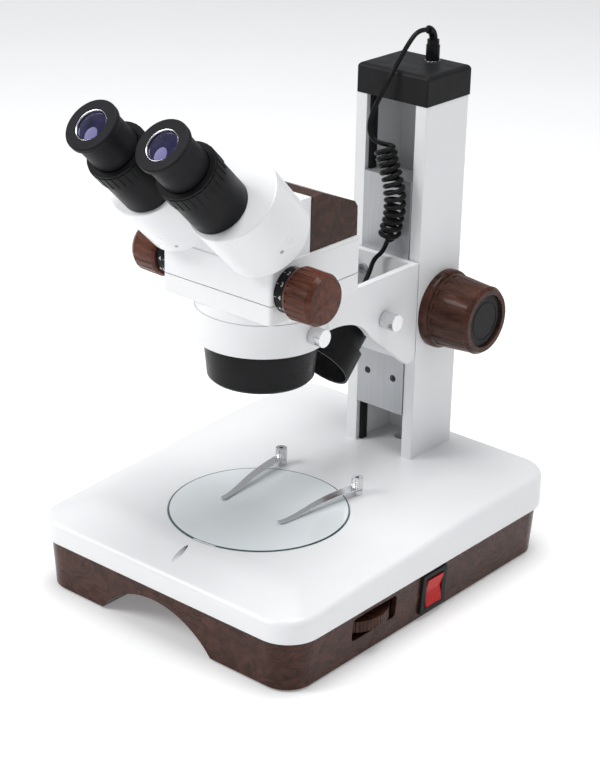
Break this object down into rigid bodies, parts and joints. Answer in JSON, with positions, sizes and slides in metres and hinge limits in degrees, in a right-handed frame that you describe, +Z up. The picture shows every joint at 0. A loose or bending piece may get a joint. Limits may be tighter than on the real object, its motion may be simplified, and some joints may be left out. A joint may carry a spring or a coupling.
{
  "type": "stereo microscope",
  "caption": "Binocular stereo microscope on a lit rectangular base, with a rear column, rack focus, turning zoom head, tilting lamp and coiled lamp cord.",
  "frame": {"origin": "on the table under the rubber feet, in the middle plane of the stage and column", "axes": "+X to the user's right, +Y from the user to the column, +Z up"},
  "size_m": [0.2385, 0.3288, 0.3734],
  "materials": {
    "white_enamel": "satin",
    "burl_brown": "gloss",
    "knob_brown": "gloss",
    "black_satin": "satin",
    "black_anodised": "satin",
    "black_plastic": "matte",
    "white_plastic": "satin",
    "milk_plastic": "satin",
    "red_plastic": "gloss",
    "board_green": "satin",
    "grey_slide": "satin",
    "steel": "satin",
    "chrome_trim": "polished",
    "rack_brass": "satin",
    "reflector": "polished",
    "iron_core": "matte",
    "rubber_black": "matte",
    "stage_glass_tint": "gloss",
    "clear_glass": "gloss"
  },
  "bodies": {
    "stand": {"base_skirt": "burl_brown", "base_top_plate": "white_enamel", "bottom_cover": "black_satin", "cover_screws": "steel", "rubber_feet": "rubber_black", "stage_glass": "stage_glass_tint", "stage_diffuser": "milk_plastic", "stage_lock_screw": "steel", "lower_reflector": "reflector", "lower_bulb": "clear_glass", "transformer": "iron_core", "circuit_board": "board_green", "power_inlet": "black_plastic", "switch_bezel": "black_plastic", "column": "white_enamel", "guide_strips": "black_plastic", "column_cap": "black_plastic", "lamp_jack": "chrome_trim", "focus_collars": "knob_brown", "cord_plug": "rubber_black", "cord_upper_lead": "rubber_black", "curly_cord": "rubber_black"},
    "rocker": {"rocker_switch": "red_plastic"},
    "dimmer": {"dimmer_wheel": "knob_brown"},
    "clip_right": {"stage_clip_right": "chrome_trim"},
    "clip_left": {"stage_clip_left": "chrome_trim"},
    "focus_drive": {"focus_shaft": "steel", "focus_knobs": "knob_brown", "knob_end_caps": "black_plastic"},
    "carriage": {"slide_plate": "grey_slide", "slide_rack": "rack_brass", "arm_bracket": "white_enamel", "arm_screws": "steel", "lamp_pivot_pin": "steel", "cord_lower_lead": "rubber_black"},
    "head_lock": {"head_lock_screw": "chrome_trim"},
    "lamp_clamp": {"lamp_clamp_screw": "chrome_trim"},
    "lamp": {"lamp_housing": "black_satin", "lamp_reflector": "reflector", "lamp_bulb": "clear_glass"},
    "head": {"head_lower_body": "white_enamel", "head_upper_body": "white_enamel", "binocular_block": "white_enamel", "rear_cover": "burl_brown", "nosepiece": "black_satin", "objective_lens": "clear_glass"},
    "zoom": {"zoom_shaft": "steel", "zoom_dials": "black_plastic", "zoom_knobs": "knob_brown"},
    "zoom_lens": {"zoom_carrier": "black_anodised"},
    "drum_right": {"prism_housing_right": "white_enamel", "prism_right": "clear_glass", "eye_tube_right": "black_anodised"},
    "drum_left": {"prism_housing_left": "white_enamel", "prism_left": "clear_glass", "eye_tube_left": "black_anodised"},
    "ring_right": {"diopter_ring_right": "black_anodised"},
    "ring_left": {"diopter_ring_left": "black_anodised"},
    "ocular_right": {"eyepiece_right": "black_anodised"},
    "ocular_left": {"eyepiece_left": "black_anodised"}
  },
  "joints": [
    {"name": "focus_slide", "type": "slide", "parent": "stand", "child": "carriage", "axis": [0, 0, 1], "range_m": [-0.03, 0.05], "deforming": ["curly_cord"]},
    {"name": "focus_turn", "type": "hinge", "parent": "stand", "child": "focus_drive", "pos_m": [0, 0.1158, 0.1745], "axis": [1, 0, 0], "range_deg": [-480, 290]},
    {"name": "head_turn", "type": "hinge", "parent": "carriage", "child": "head", "pos_m": [0, -0.0446, 0.2], "axis": [0, 0, 1], "range_deg": [-120, 120]},
    {"name": "head_lock_turn", "type": "hinge", "parent": "carriage", "child": "head_lock", "pos_m": [0.045, -0.0446, 0.2056], "axis": [1, 0, 0], "range_deg": [-180, 180]},
    {"name": "lamp_clamp_turn", "type": "hinge", "parent": "carriage", "child": "lamp_clamp", "pos_m": [0.03, 0.0485, 0.1854], "axis": [1, 0, 0], "range_deg": [-180, 180]},
    {"name": "lamp_tilt", "type": "hinge", "parent": "carriage", "child": "lamp", "pos_m": [0, 0.0485, 0.1854], "axis": [1, 0, 0], "range_deg": [-15, 20], "deforming": ["cord_lower_lead"]},
    {"name": "zoom_turn", "type": "hinge", "parent": "head", "child": "zoom", "pos_m": [0, -0.0715, 0.245], "axis": [1, 0, 0], "range_deg": [-57, 183]},
    {"name": "zoom_lift", "type": "slide", "parent": "head", "child": "zoom_lens", "axis": [0, 0, 1], "range_m": [-0.0026, 0.0081]},
    {"name": "drum_right_turn", "type": "hinge", "parent": "head", "child": "drum_right", "pos_m": [0.034, -0.1117, 0.3121], "axis": [0, -0.7071, 0.7071], "range_deg": [-18, 54]},
    {"name": "drum_left_turn", "type": "hinge", "parent": "head", "child": "drum_left", "pos_m": [-0.034, -0.1117, 0.3121], "axis": [0, -0.7071, 0.7071], "range_deg": [-54, 18]},
    {"name": "eyepiece_right_slide", "type": "slide", "parent": "drum_right", "child": "ocular_right", "axis": [0, -0.7071, 0.7071], "range_m": [-0.0025, 0.0025]},
    {"name": "eyepiece_left_slide", "type": "slide", "parent": "drum_left", "child": "ocular_left", "axis": [0, -0.7071, 0.7071], "range_m": [-0.0025, 0.0025]},
    {"name": "diopter_right_turn", "type": "hinge", "parent": "drum_right", "child": "ring_right", "pos_m": [0.0292, -0.11714, 0.30666], "axis": [0, -0.7071, 0.7071], "range_deg": [-150.1, 150.1]},
    {"name": "diopter_left_turn", "type": "hinge", "parent": "drum_left", "child": "ring_left", "pos_m": [-0.0292, -0.11714, 0.30666], "axis": [0, -0.7071, 0.7071], "range_deg": [-150.1, 150.1]},
    {"name": "rocker_tilt", "type": "hinge", "parent": "stand", "child": "rocker", "pos_m": [0.10422, 0.0115, 0.02], "axis": [0, 1, 0], "range_deg": [-6, 0]},
    {"name": "dimmer_turn", "type": "hinge", "parent": "stand", "child": "dimmer", "pos_m": [0.0865, -0.0515, 0.024], "axis": [0, 0, 1], "range_deg": [-150, 150]},
    {"name": "clip_right_turn", "type": "hinge", "parent": "stand", "child": "clip_right", "pos_m": [0.035, 0.0187, 0.0647], "axis": [0, 0, 1], "range_deg": [-10, 90]},
    {"name": "clip_left_turn", "type": "hinge", "parent": "stand", "child": "clip_left", "pos_m": [-0.035, 0.0187, 0.0647], "axis": [0, 0, 1], "range_deg": [-90, 10]}
  ],
  "couplings": [
    {"joint": "focus_turn", "follows": "focus_slide", "rad_per_m": -166.67},
    {"joint": "zoom_lift", "follows": "zoom_turn", "m_per_rad": 0.0025},
    {"joint": "drum_left_turn", "follows": "drum_right_turn", "ratio": -1},
    {"joint": "diopter_right_turn", "follows": "eyepiece_right_slide", "rad_per_m": 1047.2},
    {"joint": "diopter_left_turn", "follows": "eyepiece_left_slide", "rad_per_m": 1047.2}
  ]
}
